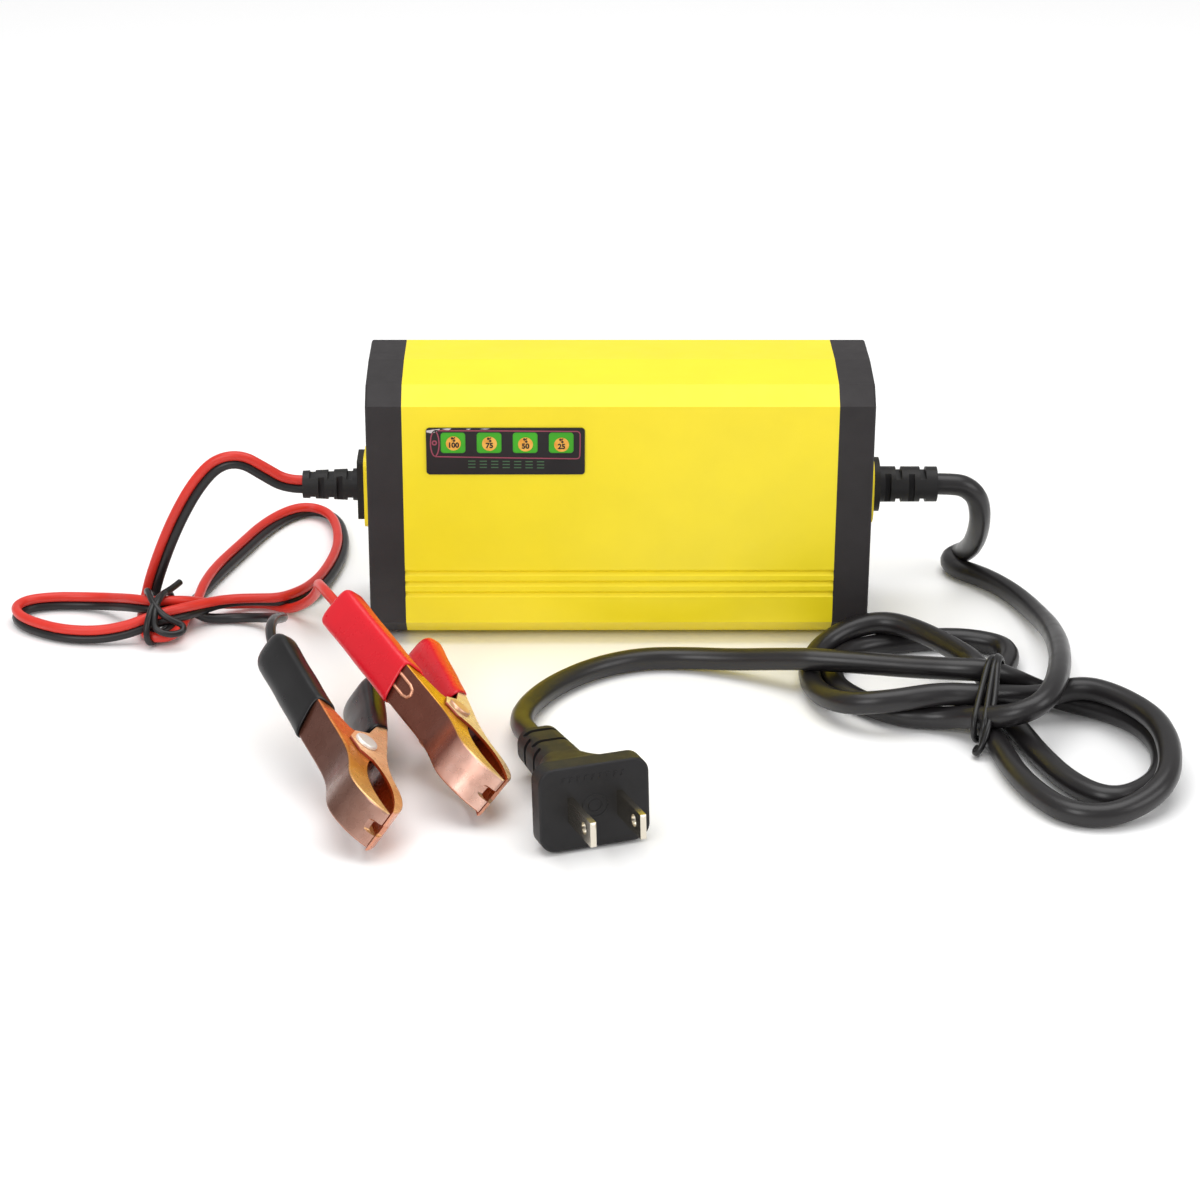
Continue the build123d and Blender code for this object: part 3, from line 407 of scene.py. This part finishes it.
# A sleeve, along the clip's own x from its mouth to its tail, and by its middle's distance from the x axis.
MOUTH = -14
TAILS = {"red": -49.6, "black": -47.8}
SLEEVE_MIDDLE, SLEEVE_SPREAD = 8.3, 6.5
SLEEVE_HALF_HEIGHT, SLEEVE_GROWTH = 3.25, 0.15
SLEEVE_WALL = 0.75
SLEEVE_WAIST = 0.1
SLEEVE_STEPS = 48
# The rounded tail's length and the section's squareness. The red clip's wired sleeve is cut off squarer.
ROUND_TAIL, SQUARE_TAIL = (5.4, 3.5), (2.2, 4.6)


def clip_place(color):
    """A matrix from a clip's own mm (x to its jaws, y to its wired half, z along its rivet) to metres."""
    pivot, along, axis = (Vector(values) for values in CLIPS[color])
    along.normalize()
    axis = (axis - axis.dot(along) * along).normalized()
    across = axis.cross(along)
    turn = Matrix((along, across, axis)).transposed().to_4x4()
    return Matrix.Translation(pivot * MM) @ turn @ Matrix.Scale(MM, 4)


def add_mesh(name, points, faces, material, place=Matrix(), smooth=True):
    data = bpy.data.meshes.new(name)
    data.from_pydata([place @ Vector(point) for point in points], [], faces)
    data.polygons.foreach_set("use_smooth", [smooth] * len(data.polygons))
    data.materials.append(material)
    data.update()
    piece = bpy.data.objects.new(name, data)
    bpy.context.scene.collection.objects.link(piece)
    return piece


def loft(rings):
    """Points and faces of a skin over equal rings, with its last ring filled."""
    count = len(rings[0])
    points = [point for ring in rings for point in ring]
    faces = []
    for ring in range(len(rings) - 1):
        for step in range(count):
            after = (step + 1) % count
            faces.append((ring * count + step, ring * count + after,
                          (ring + 1) * count + after, (ring + 1) * count + step))
    faces.append(tuple(range((len(rings) - 1) * count, len(rings) * count)))
    return points, faces


def rounded(angle, power):
    """A point on a rounded square of half side 1: a circle at power 2, squarer above."""
    cosine, sine = math.cos(angle), math.sin(angle)
    return (math.copysign(abs(cosine) ** (2 / power), cosine),
            math.copysign(abs(sine) ** (2 / power), sine))


def slanted_mouth(share, up, out):
    """How far the skin is pushed back near the mouth, so that it is cut at a slant."""
    if share >= 0.2:
        return 0
    fade = 1 - share / 0.2
    return fade * (1.7 * out * max(0, up) + 1.9 * max(0, -up - 0.2) * max(0, -out)) - 0.2 * fade


def make_sleeve(color, side, half_width):
    """A soft sleeve over a handle: its mouth is cut at a slant, and its tail is rounded and closed."""
    tail_length, power = SQUARE_TAIL if (color, side) == ("red", 1) else ROUND_TAIL
    length = TAILS[color] - MOUTH

    def ring(share, inset, grow=1.0, x_shift=0.0):
        """One ring of the skin, inset from the outside, at this share of the length from the mouth."""
        middle = SLEEVE_MIDDLE + SLEEVE_SPREAD * share
        tall = (SLEEVE_HALF_HEIGHT + SLEEVE_GROWTH * share - inset) * grow
        wide = (half_width + SLEEVE_WALL - SLEEVE_WAIST * math.sin(math.pi * share) - inset) * grow
        points = []
        for step in range(SLEEVE_STEPS):
            up, out = rounded(2 * math.pi * step / SLEEVE_STEPS, power)
            x = MOUTH + length * share + slanted_mouth(share, up, out) + x_shift
            points.append((x, side * (middle + tall * up), out * wide))
        return points

    # From inside the mouth, round its lip, along the sleeve with a slight waviness, and round the tail.
    rings = [ring(0.12, 0.75), ring(0.03, 0.7), ring(0.0, 0.62), ring(0.0, 0.35, 1, 0.35),
             ring(0.0, 0.05, 1, 0.2), ring(0.012, -0.04), ring(0.05, 0)]
    straight = 1 - tail_length / abs(length)
    for step in range(1, 10):
        rings.append(ring(0.05 + (straight - 0.05) * step / 9, 0.05 * math.sin(step * 1.3)))
    bluntness = 0.7 if power < 4 else 0.45
    for step in range(1, 10):
        turn = math.pi / 2 * step / 9
        share = straight + (1 - straight) * math.sin(turn)
        rings.append(ring(share, 0, max(0.12, math.cos(turn) ** bluntness)))
    points, faces = loft(rings)
    kind = "wired" if side > 0 else "moving"
    piece = add_mesh(f"{color}_clip_{kind}_grip", points, faces, LOOKS[f"sleeve_{color}"],
                     clip_place(color))
    if side < 0:
        piece.data.flip_normals()
    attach(piece, "charger" if side > 0 else f"{color}_clip")
    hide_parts(f"{color}_clip_{kind}_sleeve")


def tube(points, radius, sides=10):
    """Points and faces of a round tube along points."""
    places = [Vector(point) for point in points]
    ahead = (places[1] - places[0]).normalized()
    side = ahead.orthogonal().normalized()
    rings = []
    for index, place in enumerate(places):
        run = (places[min(index + 1, len(places) - 1)] - places[max(index - 1, 0)]).normalized()
        side = (side - side.dot(run) * run).normalized()
        other = run.cross(side)
        rings.append([tuple(place + radius * (math.cos(turn) * side + math.sin(turn) * other))
                      for turn in (2 * math.pi * step / sides for step in range(sides))])
    found, faces = loft(rings)
    faces.append(tuple(reversed(range(sides))))
    return found, faces


SPRING_TURNS = 4
SPRING_RADIUS = 3.1
SPRING_REACH = 2.7  # along the rivet, each way from the middle
SPRING_WIRE = 0.55
SPRING_STEPS = 24  # in each turn
SPRING_LEG = [(-13.5, 8.7, 2.4), (-12.8, 8.4, 2.5), (-8, 5.9, 2.7), (-4.6, 3.6, 2.7)]
SPRING_START, SPRING_EXTRA = math.radians(155), math.radians(50)


def make_spring(color):
    """A torsion spring: coils round the rivet, and a leg under each handle."""
    coil = []
    steps = SPRING_STEPS * SPRING_TURNS
    for step in range(steps + 1):
        share = step / steps
        turn = SPRING_START + (2 * math.pi * SPRING_TURNS + SPRING_EXTRA) * share
        coil.append((SPRING_RADIUS * math.cos(turn), SPRING_RADIUS * math.sin(turn),
                     SPRING_REACH * (1 - 2 * share)))
    other_leg = [(x, -y, -z) for x, y, z in reversed(SPRING_LEG)]
    points, faces = tube(SPRING_LEG + coil + other_leg, SPRING_WIRE)
    place = clip_place(color)
    piece = add_mesh(f"{color}_clip_coil", points, faces, LOOKS["spring_steel"], place)
    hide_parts(f"{color}_clip_spring")
    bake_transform(piece)


BEAD_OUTLINE = [(-16.5, -1.7), (-13, -1.72), (-9.6, -1.7), (-8.1, -1.25), (-7.4, 0), (-8.1, 1.25),
                (-9.6, 1.7), (-13, 1.72), (-16.5, 1.7)]
BEAD_RADIUS = 0.52


def back_of_handle(x):
    """The height of the wired half's back over the clip's x axis, where the bead is sunk into it."""
    return 10.3 - 0.205 * (x + 13) - 0.12


def make_bead(color):
    """The pressed U beyond the wired sleeve's mouth, standing proud of the half's back."""
    line = []
    for (x, z), (x_after, z_after) in zip(BEAD_OUTLINE, BEAD_OUTLINE[1:]):
        line += [(x + (x_after - x) * part / 4, z + (z_after - z) * part / 4) for part in range(4)]
    line.append(BEAD_OUTLINE[-1])
    path = [(x, back_of_handle(x), z - 0.6) for x, z in line]
    points, faces = tube(path, BEAD_RADIUS, 8)
    piece = add_mesh(f"{color}_clip_bead", points, faces, copper(f"{color}_bead_copper", color, 0),
                     clip_place(color))
    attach(piece, "charger")


def copper(name, color, side):
    """Bright copper placed along the clip's own length. The backs are brown with patina near the sleeve and
    pale toward the jaws' tip, which is a painted reflection. The flank that faces up is painted lighter,
    which is painted light. The flank that faces down and the inside of the channel are painted darker, which
    is painted shade.

    side is 1 for the wired half, -1 for the moving half and 0 for the bead.
    """
    pivot, along, axis = (Vector(values) for values in CLIPS[color])
    across = axis.cross(along) * (side or 1)
    paint = Paint(name, rgb(214, 138, 96), 0.27, 0.3 if side < 0 else 0.55)
    nodes, link = paint.tree.nodes, paint.link

    def dot(out, direction):
        node = nodes.new("ShaderNodeVectorMath")
        node.operation = "DOT_PRODUCT"
        node.inputs[1].default_value = direction
        link(out, node.inputs[0])
        return node.outputs["Value"]

    def spread(out, low, high):
        node = nodes.new("ShaderNodeMapRange")
        node.inputs["From Min"].default_value = low
        node.inputs["From Max"].default_value = high
        link(out, node.inputs["Value"])
        return node.outputs["Result"]

    facing = nodes.new("ShaderNodeTexCoord").outputs["Normal"]
    zero = pivot.dot(along)
    share = spread(dot(paint.place, along), (zero - 15) * MM, (zero + 34) * MM)
    # The back's tones are brown patina near the sleeve and pale toward the jaws' tip, a painted reflection.
    # The flank's tones are painted light.
    back_patina_and_reflection_stops, lit_flank_stops = COPPER_PATINA_AND_LIGHT_TONES[color, side]
    back = paint.ramp(share, *back_patina_and_reflection_stops)
    flank = paint.ramp(share, *lit_flank_stops)
    # Darker tones for the faces inside the channel: painted shade.
    inner = paint.ramp(share, (0, rgb(120, 52, 22)), (0.6, rgb(150, 48, 14)), (1, rgb(196, 84, 30)))
    # Faces that point up get the lighter flank tones as painted light. Faces that point down get darker
    # tones as painted shade.
    lit_flank_mask = spread(dot(facing, axis), -0.35, -0.6)
    shaded_flank_mask = spread(dot(facing, axis), 0.35, 0.6)
    color_out = paint.mix(lit_flank_mask, back, flank)
    shaded_flank_tones = paint.ramp(share, (0, rgb(150, 84, 50)), (1, rgb(190, 120, 84)))
    color_out = paint.mix(shaded_flank_mask, color_out, shaded_flank_tones)
    color_out = paint.mix(spread(dot(facing, across), -0.3, -0.6), color_out, inner)
    stain = paint.ramp(paint.noise(170, 6), (0.42, rgb(235, 225, 220)), (0.7, rgb(255, 255, 255)))
    paint.color(paint.mix(1, color_out, stain, "MULTIPLY"))
    paint.rough(paint.ramp(paint.noise(320, 4), (0.3, 0.2), (0.7, 0.36)))
    paint.bump(paint.noise(260, 5), 0.12, 0.00004)
    paint.bump(paint.noise(2600, 2), 0.15, 0.00001)
    return paint.material


# Tones from the sleeve to the jaws' tip. The back is brown with patina near the sleeve and paled toward the
# tip as a painted reflection. The flank that faces up is painted lighter as painted light.
BEAD_TONES = [(0, rgb(240, 178, 146)), (1, rgb(244, 190, 160))]
COPPER_PATINA_AND_LIGHT_TONES = {
    ("red", 1): ([(0, rgb(122, 72, 58)), (0.46, rgb(126, 76, 62)), (0.56, rgb(164, 82, 50)),
                  (0.66, rgb(138, 76, 58)), (0.78, rgb(238, 190, 174)), (1, rgb(244, 202, 184))],
                 [(0, rgb(232, 166, 34)), (0.45, rgb(234, 172, 44)), (0.7, rgb(236, 182, 90)),
                  (1, rgb(250, 218, 172))]),
    ("red", -1): ([(0, rgb(196, 120, 84)), (1, rgb(226, 160, 130))],
                  [(0, rgb(252, 226, 184)), (0.5, rgb(250, 224, 176)), (1, rgb(246, 208, 160))]),
    ("black", 1): ([(0, rgb(108, 68, 56)), (0.5, rgb(112, 76, 64)), (0.62, rgb(140, 106, 92)),
                    (0.8, rgb(120, 86, 74)), (1, rgb(198, 156, 140))],
                   [(0, rgb(236, 138, 84)), (0.35, rgb(228, 148, 70)), (0.6, rgb(220, 150, 62)),
                    (1, rgb(242, 200, 146))]),
    ("black", -1): ([(0, rgb(196, 120, 84)), (1, rgb(226, 160, 130))],
                    [(0, rgb(255, 206, 158)), (0.45, rgb(255, 202, 152)), (0.75, rgb(244, 180, 112)),
                     (1, rgb(240, 186, 128))]),
    ("red", 0): (BEAD_TONES, BEAD_TONES),
}
for color in CLIPS:
    for side, kind, half_width in ((1, "wired", WIRED_HALF_WIDTH), (-1, "moving", MOVING_HALF_WIDTH)):
        node = NODES[f"{color}_clip_{kind}_half"]
        node.data.materials.clear()
        node.data.materials.append(copper(f"{color}_{kind}_copper", color, side))
        make_sleeve(color, side, half_width)
    make_spring(color)
make_bead("red")


# ------------------------------------------------------------ print on the label

LABEL_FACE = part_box("indicator_label")[0][1] / MM
WINDOW_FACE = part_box("indicator_windows")[0][1] / MM
WINDOW_XS = (-46.0, -36.1, -26.2, -16.3)
PRINT_HEIGHT = 0.06
PRINT_SINK = 0.02


def plate(outline, face, inner=None):
    """Points and faces of a thin raised print on the front: a filled outline, or the band between two."""
    count = len(outline)
    top = [(x, face - PRINT_HEIGHT, z) for x, z in outline]
    low = [(x, face + PRINT_SINK, z) for x, z in outline]
    points, faces = top + low, []
    for step in range(count):
        after = (step + 1) % count
        faces.append((step, after, count + after, count + step))
    if inner is None:
        faces.append(tuple(range(count)))
        return points, faces
    points += [(x, face - PRINT_HEIGHT, z) for x, z in inner]
    for step in range(count):
        after = (step + 1) % count
        faces.append((step, 2 * count + step, 2 * count + after, after))
    return points, faces


def oval(x, z, wide, tall, steps=36):
    turns = [2 * math.pi * step / steps for step in range(steps)]
    return [(x + wide * math.cos(turn), z + tall * math.sin(turn)) for turn in turns]


def add_print(name, parts, material):
    points, faces = [], []
    for part_points, part_faces in parts:
        base = len(points)
        points += part_points
        faces += [tuple(base + index for index in face) for face in part_faces]
    piece = add_mesh(name, points, faces, material, Matrix.Scale(MM, 4), smooth=False)
    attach(piece, "charger")


def band(outline, width, face):
    """A drawn line of this width along an outline."""
    center = Vector((sum(x for x, z in outline), sum(z for x, z in outline))) / len(outline)
    inner = []
    for index in range(len(outline)):
        before, after = Vector(outline[index - 1]), Vector(outline[(index + 1) % len(outline)])
        run = (after - before).normalized()
        normal = Vector((-run.y, run.x))
        here = Vector(outline[index])
        if normal.dot(center - here) < 0:
            normal = -normal
        inner.append(tuple(here + width * normal))
    return plate(outline, face, inner=inner)


def ribbon(line, width, face):
    """A drawn line of this width along an open line of points."""
    half = width / 2
    outer, inner = [], []
    for index, here in enumerate(line):
        before, after = Vector(line[max(index - 1, 0)]), Vector(line[min(index + 1, len(line) - 1)])
        run = (after - before).normalized()
        normal = Vector((-run.y, run.x))
        outer.append(tuple(Vector(here) + half * normal))
        inner.append(tuple(Vector(here) - half * normal))
    count = len(outer)
    points = [(x, face - PRINT_HEIGHT, z) for x, z in outer + inner]
    faces = [(step, step + 1, count + step + 1, count + step) for step in range(count - 1)]
    return points, faces


PINK = mottled("print_pink", rgb(150, 64, 84), 0.4, 0.12, 900)
LINE_WIDTH, RING_WIDTH = 0.34, 0.4
FRAME_LINE = [(-51.0, 56.9), (-30, 56.5), (-12.1, 56.25), (-11.5, 56.4), (-11.2, 57.0), (-11.1, 60),
              (-11.1, 63.4), (-11.35, 64.0), (-11.9, 64.25), (-30, 64.4), (-51.0, 64.5)]
END_OVAL, END_RING = oval(-51.0, 60.7, 1.35, 3.85), oval(-51.1, 60.9, 0.75, 0.75)
add_print("label_frame", [ribbon(FRAME_LINE, LINE_WIDTH, LABEL_FACE),
                          band(END_OVAL, LINE_WIDTH, LABEL_FACE),
                          band(END_RING, RING_WIDTH, LABEL_FACE)], PINK)
SPOT_ZS = (60.7, 60.6, 60.4, 60.3)
SPOT_RADIUS = 2.05
SPOT = Paint("print_spot", rgb(232, 164, 48), 0.35)
SPOT.color(SPOT.ramp(SPOT.noise(420, 3), (0.3, rgb(226, 146, 36)), (0.7, rgb(240, 186, 84))))
SPOT.bump(SPOT.noise(1500, 2), 0.1, 0.00001)
add_print("label_spots", [plate(oval(x + 0.1, z, SPOT_RADIUS, SPOT_RADIUS), WINDOW_FACE)
                          for x, z in zip(WINDOW_XS, SPOT_ZS)], SPOT.material)
INK = mottled("print_ink", rgb(28, 14, 10), 0.4, 0.15, 900)
MARK = mottled("print_green", rgb(62, 98, 66), 0.4, 0.12, 900)
NUMBER_SIZE, PERCENT_SIZE = 2.05, 1.7


def add_number(name, text, x, z, size):
    """Printed text on a spot, in strokes a little bolder than the font's."""
    data = bpy.data.curves.new(name, "FONT")
    data.body = text
    data.size = size * MM
    data.align_x = "CENTER"
    data.align_y = "CENTER"
    data.extrude = 0.00002
    data.offset = 0.00009
    data.materials.append(INK)
    words = bpy.data.objects.new(name, data)
    bpy.context.scene.collection.objects.link(words)
    words.rotation_euler = (math.pi / 2, 0, 0)
    words.location = to_m((x, WINDOW_FACE - 0.07, z))
    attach(words, "charger")


for charge, x, z in zip(("100", "75", "50", "25"), WINDOW_XS, SPOT_ZS):
    add_number(f"label_number_{charge}", charge, x + 0.1, z - 0.55, NUMBER_SIZE)
    add_number(f"label_percent_{charge}", "%", x + 0.05, z + 1.1, PERCENT_SIZE)
# Seven stacks of three plain bars under the frame, on a line that falls a little to the right.
DASH_PITCH, DASH_LENGTH, DASH_HEIGHT, DASH_FALL = 3.15, 2, 0.3, 0.03
DASHES = []
for index in range(7):
    x = -41.9 + DASH_PITCH * index
    for row in (53.6, 54.5, 55.4):
        low = row - DASH_FALL * index
        DASHES.append(plate([(x, low), (x + DASH_LENGTH, low), (x + DASH_LENGTH, low + DASH_HEIGHT),
                             (x, low + DASH_HEIGHT)], LABEL_FACE))
add_print("label_marks", DASHES, MARK)
SCUFF = mottled("label_scuff", rgb(196, 188, 190), 0.4, 0.2, 700)
SCUFFS = [[(-53.2, 64.0), (-51.8, 63.7), (-50.4, 64.2), (-49.4, 65.0), (-51.6, 64.75), (-53.3, 64.5)],
          [(-49.0, 65.0), (-47.2, 64.5), (-46.4, 65.1), (-47.4, 65.15)],
          [(-42.4, 64.95), (-41.6, 64.7), (-41.0, 65.1)],
          [(-38.6, 64.95), (-37.0, 64.8), (-35.8, 65.05), (-37.2, 65.12)]]
add_print("label_scuffs", [plate(outline, LABEL_FACE) for outline in SCUFFS], SCUFF)


# ------------------------------------------------------------ plug face

PLUG_FACE = Vector((-8.1, -143.6, 11.4))
PLUG_YAW, PLUG_PITCH = math.radians(18.5), math.radians(5.3)
RING_RADII, RING_WIRE = (2.9, 1.5), 0.16
BAR_PITCH, BAR_WIRE = 1.9, 0.14


def plug_place():
    """A matrix from mm on the plug's face (x across, y up, z out of it) to metres."""
    level = math.cos(PLUG_PITCH)
    out = Vector((math.sin(PLUG_YAW) * level, -math.cos(PLUG_YAW) * level, math.sin(PLUG_PITCH)))
    across = Vector((math.cos(PLUG_YAW), math.sin(PLUG_YAW), 0))
    turn = Matrix((across, out.cross(across), out)).transposed().to_4x4()
    return Matrix.Translation(PLUG_FACE * MM) @ turn @ Matrix.Scale(MM, 4)


def make_plug_marks():
    """Raised rings between the blades, and a row of small raised bars above them."""
    points, faces = [], []

    def add(path, radius):
        base = len(points)
        tube_points, tube_faces = tube(path, radius, 8)
        points.extend(tube_points)
        faces.extend(tuple(base + index for index in face) for face in tube_faces)

    turns = [2 * math.pi * step / 40 for step in range(41)]
    for radius in RING_RADII:
        add([(radius * 1.1 * math.cos(turn), 0.1 + radius * math.sin(turn), 0) for turn in turns], RING_WIRE)
    for index in range(9):
        x = -8.4 + BAR_PITCH * index
        add([(x, 7.0, 0), (x + 0.4, 7.6, 0), (x + 0.1, 8.2, 0), (x + 0.9, 8.3, 0)], BAR_WIRE)
    piece = add_mesh("plug_face_marks", points, faces, LOOKS["plug_black"], plug_place())
    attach(piece, "charger")
    return piece


plug_marks = make_plug_marks()


def clip_pieces(color):
    """The pieces on the end of one output core."""
    parts = [NODES[f"{color}_clip_{part}"] for part in ("wired_half", "moving_half", "rivet")]
    parts += [bpy.data.objects[f"{color}_clip_{part}"] for part in ("wired_grip", "moving_grip", "coil")]
    return parts


clip_pieces("red")
clip_pieces("black") + [output_tie]


# ------------------------------------------------------------ floor and light

FLOOR_HEIGHT = -0.0003  # just under the leads' skins


def add_floor():
    bpy.ops.mesh.primitive_plane_add(size=8, location=(0, 0, FLOOR_HEIGHT))
    floor = bpy.context.object
    floor.name = "floor"
    paint = Paint("floor", (0.99, 0.99, 0.99, 1), 0.7)
    floor.data.materials.append(paint.material)


def add_light(name, place, aim, size, power):
    data = bpy.data.lights.new(name, "AREA")
    data.energy = power
    data.shape = "RECTANGLE"
    data.size, data.size_y = size
    light = bpy.data.objects.new(name, data)
    light.location = place
    light.rotation_euler = (Vector(aim) - Vector(place)).to_track_quat("-Z", "Y").to_euler()
    bpy.context.scene.collection.objects.link(light)


add_floor()
add_light("top_light", (0, 0.1, 1.6), (0, 0, 0), (1.6, 1.4), 18)
add_light("front_light", (-0.9, -1.4, 1.1), (0, 0, 0.03), (0.9, 0.9), 11)
add_light("side_light", (1.3, -0.7, 0.8), (0, 0, 0.03), (0.8, 0.8), 6)
world = bpy.data.worlds.new("world")
world.use_nodes = True
world.node_tree.nodes["Background"].inputs["Color"].default_value = (1, 1, 1, 1)
world.node_tree.nodes["Background"].inputs["Strength"].default_value = 0.5
bpy.context.scene.world = world
bpy.context.scene.view_settings.view_transform = "Standard"
